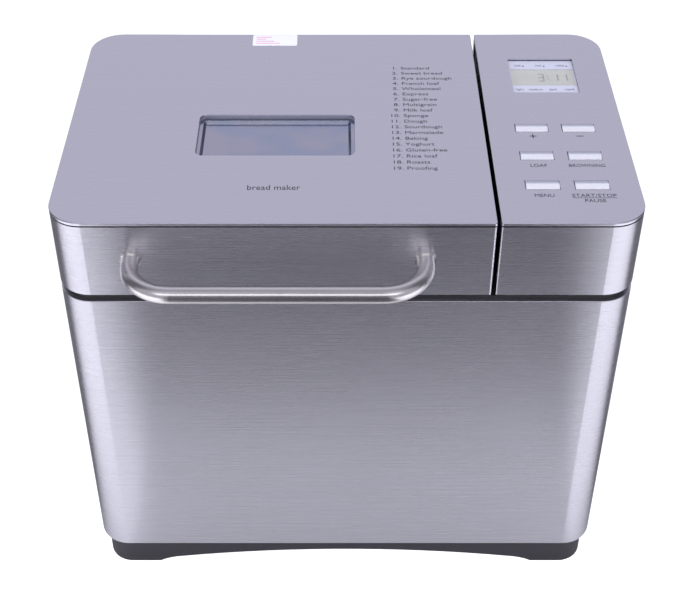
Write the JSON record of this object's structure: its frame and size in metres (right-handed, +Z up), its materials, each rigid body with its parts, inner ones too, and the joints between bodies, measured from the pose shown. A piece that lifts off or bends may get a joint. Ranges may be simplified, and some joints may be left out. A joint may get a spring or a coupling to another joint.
{
  "type": "bread machine",
  "caption": "Countertop bread machine: brushed steel box, hinged lid with a viewing window and bar handle, fixed control unit with display and keys, lift-out pan with a driven kneading paddle.",
  "frame": {"origin": "on the floor, under the middle of the box that holds the whole machine with its handle", "axes": "+X to the control unit's side, +Y to the back, +Z up; the handle and the lid's free edge face -Y"},
  "size_m": [0.365, 0.2666, 0.3247],
  "materials": {
    "brushed_steel": "brushed along the width",
    "plain_steel": "mill finish",
    "bright_steel": "bright",
    "handle_steel": "satin polished",
    "heater_sheath": "dark oxidised",
    "charcoal_plastic": "fine grain",
    "black_plastic": "fine grain",
    "rubber": "matte",
    "silicone": "satin",
    "glass": "clear",
    "clear_plastic": "clear, slightly smoked",
    "key_silver": "silver paint",
    "display_white": "printed card",
    "display_glass": "liquid crystal glass",
    "circuit_board": "solder mask",
    "switch_black": "matte",
    "aluminium": "cast or pressed",
    "nonstick": "non-stick coating",
    "bronze": "sintered bronze",
    "motor_iron": "laminated iron",
    "pulley_plastic": "moulded",
    "capacitor_white": "moulded"
  },
  "bodies": {
    "housing": {"base_tray": "charcoal_plastic", "rubber_feet": "rubber", "body_screws": "bright_steel", "chassis_plate": "plain_steel", "outer_shell": "brushed_steel", "rear_panel": "plain_steel", "cord_gland": "black_plastic", "top_deck": "black_plastic", "hinge_housing": "black_plastic", "oven_chamber": "plain_steel", "heating_element": "heater_sheath", "heater_brackets": "plain_steel", "temperature_sensor": "plain_steel", "pan_clips": "plain_steel", "heat_shield": "aluminium", "bearing_housing": "aluminium", "shaft_bushes": "bronze", "drive_belt": "rubber", "motor_stator": "motor_iron", "motor_end_bells": "aluminium", "power_board": "circuit_board", "motor_capacitor": "capacitor_white", "control_band": "brushed_steel", "control_frame": "black_plastic", "control_top_plate": "brushed_steel", "display_card": "display_white", "display_module": "display_glass", "control_board": "circuit_board", "key_switches": "switch_black"},
    "lid": {"lid_band": "brushed_steel", "lid_frame": "black_plastic", "lid_top_plate": "brushed_steel", "lid_liner": "aluminium", "lid_seal": "silicone", "window_gasket": "silicone", "window_inner_glass": "glass", "window_duct": "black_plastic", "window_outer_pane": "clear_plastic", "hinge_leaves": "plain_steel", "hinge_pins": "bright_steel", "handle_tube": "handle_steel", "handle_screws": "bright_steel"},
    "drive": {"drive_shaft": "bright_steel", "drive_pulley": "pulley_plastic", "drive_coupling": "aluminium"},
    "motor": {"motor_rotor": "motor_iron", "motor_pulley": "motor_iron"},
    "pan": {"bread_pan": "nonstick", "pan_bush": "bronze", "pan_ears": "plain_steel"},
    "bail": {"pan_bail": "bright_steel"},
    "agitator": {"pan_shaft": "bright_steel", "pan_coupling": "aluminium"},
    "paddle": {"kneading_paddle": "nonstick"},
    "key_plus": {"key_plus": "key_silver"},
    "key_minus": {"key_minus": "key_silver"},
    "key_loaf_size": {"key_loaf_size": "key_silver"},
    "key_crust": {"key_crust": "key_silver"},
    "key_menu": {"key_menu": "key_silver"},
    "key_start_stop": {"key_start_stop": "key_silver"}
  },
  "joints": [
    {"name": "lid_hinge", "type": "hinge", "parent": "housing", "child": "lid", "pos_m": [0, 0.12535, 0.306], "axis": [-1, 0, 0], "range_deg": [0, 90]},
    {"name": "motor_spin", "type": "hinge", "parent": "housing", "child": "motor", "pos_m": [0.125, 0.01935, 0.03], "axis": [0, 0, 1], "continuous": true},
    {"name": "drive_spin", "type": "hinge", "parent": "housing", "child": "drive", "pos_m": [-0.0459, 0.01935, 0.03], "axis": [0, 0, 1], "continuous": true},
    {"name": "pan_lift", "type": "slide", "parent": "housing", "child": "pan", "axis": [0, 0, 1], "range_m": [0, 0.06]},
    {"name": "bail_swing", "type": "hinge", "parent": "pan", "child": "bail", "pos_m": [-0.0459, 0.01935, 0.226], "axis": [-1, 0, 0], "range_deg": [0, 189.3]},
    {"name": "agitator_spin", "type": "hinge", "parent": "pan", "child": "agitator", "pos_m": [-0.0459, 0.01935, 0.084], "axis": [0, 0, 1], "continuous": true},
    {"name": "paddle_lift", "type": "slide", "parent": "agitator", "child": "paddle", "axis": [0, 0, 1], "range_m": [0, 0.025]},
    {"name": "key_plus_press", "type": "slide", "parent": "housing", "child": "key_plus", "axis": [0, 0, -1], "range_m": [0, 0.001], "stiffness_N_per_m": 600, "springref_m": -0.0005},
    {"name": "key_minus_press", "type": "slide", "parent": "housing", "child": "key_minus", "axis": [0, 0, -1], "range_m": [0, 0.001], "stiffness_N_per_m": 600, "springref_m": -0.0005},
    {"name": "key_loaf_size_press", "type": "slide", "parent": "housing", "child": "key_loaf_size", "axis": [0, 0, -1], "range_m": [0, 0.001], "stiffness_N_per_m": 600, "springref_m": -0.0005},
    {"name": "key_crust_press", "type": "slide", "parent": "housing", "child": "key_crust", "axis": [0, 0, -1], "range_m": [0, 0.001], "stiffness_N_per_m": 600, "springref_m": -0.0005},
    {"name": "key_menu_press", "type": "slide", "parent": "housing", "child": "key_menu", "axis": [0, 0, -1], "range_m": [0, 0.001], "stiffness_N_per_m": 600, "springref_m": -0.0005},
    {"name": "key_start_stop_press", "type": "slide", "parent": "housing", "child": "key_start_stop", "axis": [0, 0, -1], "range_m": [0, 0.001], "stiffness_N_per_m": 600, "springref_m": -0.0005}
  ],
  "couplings": [
    {"joint": "drive_spin", "follows": "motor_spin", "ratio": 0.16961},
    {"joint": "agitator_spin", "follows": "motor_spin", "ratio": 0.16961}
  ]
}
